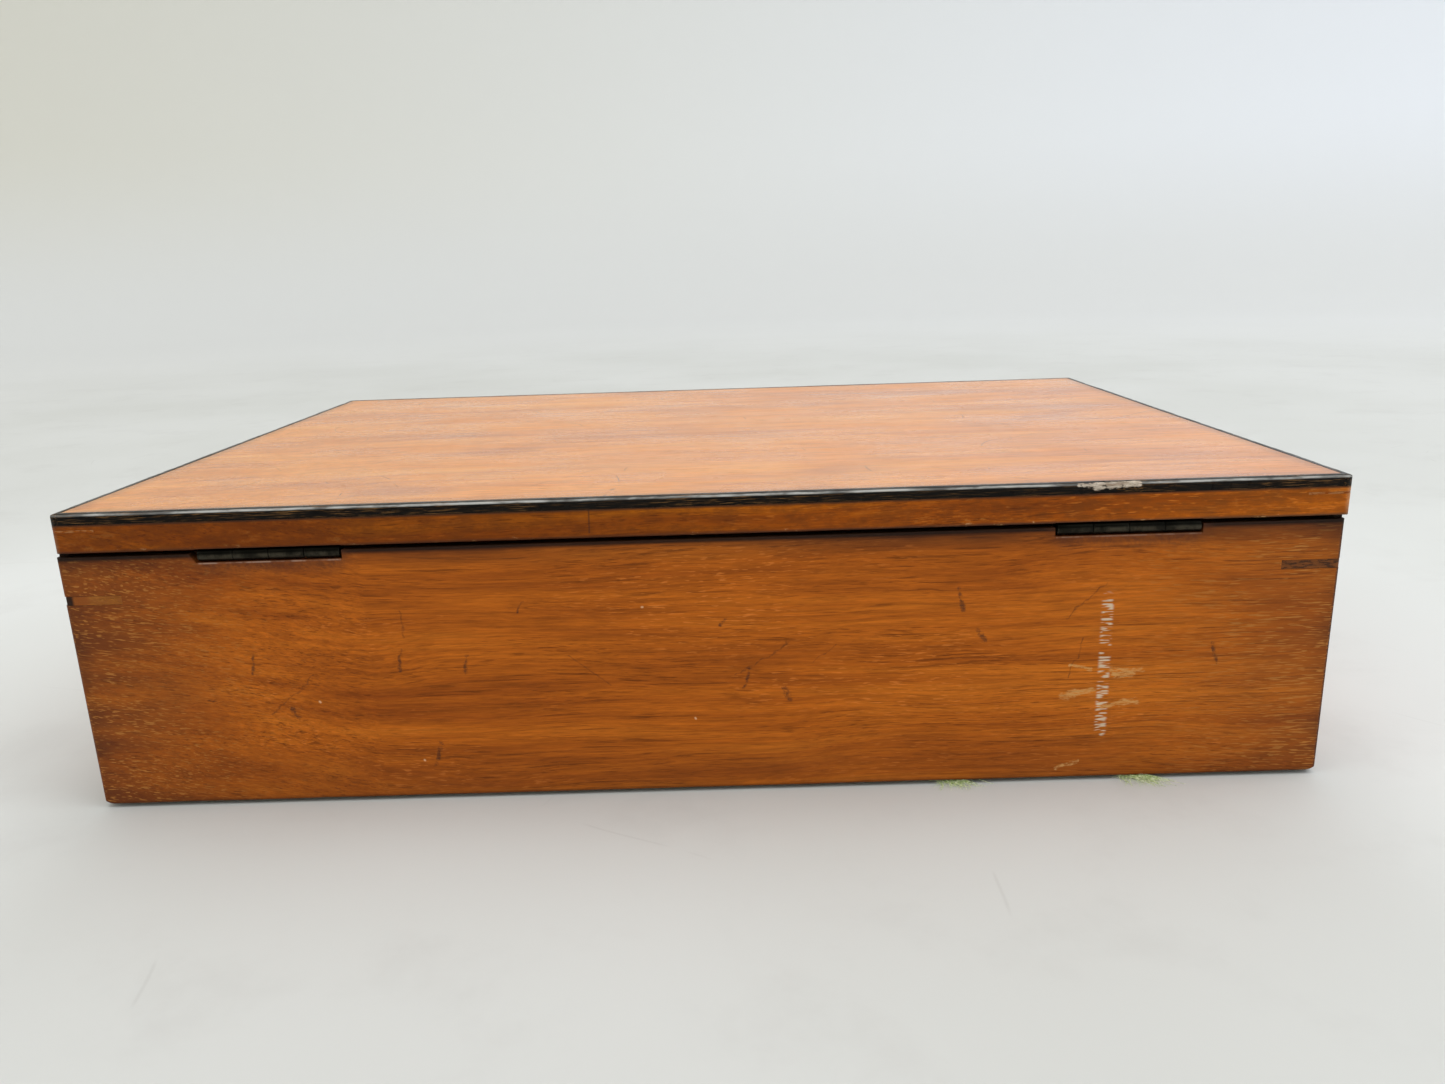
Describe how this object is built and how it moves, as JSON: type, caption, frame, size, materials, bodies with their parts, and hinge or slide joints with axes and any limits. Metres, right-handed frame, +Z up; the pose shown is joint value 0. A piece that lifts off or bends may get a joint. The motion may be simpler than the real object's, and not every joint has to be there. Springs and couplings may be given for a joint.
{
  "type": "wooden puzzle box",
  "caption": "Flat-lidded hardwood box with mitred walls, a dark bead round the lid, two brass butt hinges at the back and a hidden sliding catch.",
  "frame": {"origin": "middle of the underside of the box, at the level of the surface it rests on", "axes": "+Z up, the front faces -Y, the hinges are at +Y, and +X is the right-hand side seen from the front"},
  "size_m": [0.3444, 0.2362, 0.0857],
  "materials": {
    "mahogany": "old shellac, satin, worn at the edges",
    "ebonised_wood": "black polish, rubbed to a dull shine",
    "key_wood": "flush under the polish",
    "lining_wood": "bare, lightly waxed",
    "bottom_wood": "bare pine",
    "hinge_brass": "dark patina",
    "catch_brass": "filed bright",
    "screw_brass": "dull",
    "green_baize": "felted wool"
  },
  "bodies": {
    "base": {"back_wall": "mahogany", "front_wall": "mahogany", "left_wall": "mahogany", "right_wall": "mahogany", "bottom_board": "bottom_wood", "corner_keys": "key_wood", "bottom_screws": "screw_brass", "base_baize": "green_baize", "floor_baize": "green_baize", "back_liner": "lining_wood", "front_liner": "lining_wood", "left_liner": "lining_wood", "right_liner": "lining_wood", "hinge_left_base_leaf": "hinge_brass", "hinge_right_base_leaf": "hinge_brass", "hinge_left_pin": "hinge_brass", "hinge_right_pin": "hinge_brass", "hinge_base_screws": "screw_brass"},
    "lid": {"lid_top_board": "mahogany", "lid_back_rail": "mahogany", "lid_front_rail": "mahogany", "lid_left_rail": "mahogany", "lid_right_rail": "mahogany", "bead_back": "ebonised_wood", "bead_front": "ebonised_wood", "bead_left": "ebonised_wood", "bead_right": "ebonised_wood", "lid_corner_keys": "key_wood", "hinge_left_lid_leaf": "hinge_brass", "hinge_right_lid_leaf": "hinge_brass", "hinge_lid_screws": "screw_brass", "catch_plate_left": "catch_brass", "catch_plate_right": "catch_brass", "catch_hook_left": "catch_brass", "catch_hook_right": "catch_brass", "catch_screws": "screw_brass"},
    "lock_bar": {"lock_bar": "catch_brass", "lock_finger_left": "catch_brass", "lock_finger_right": "catch_brass"}
  },
  "joints": [
    {"name": "lid_hinge", "type": "hinge", "parent": "base", "child": "lid", "pos_m": [0, 0.11655, 0.07325], "axis": [-1, 0, 0], "range_deg": [0, 95]},
    {"name": "lock_bar_slide", "type": "slide", "parent": "base", "child": "lock_bar", "axis": [-1, 0, 0], "range_m": [0, 0.005]}
  ]
}
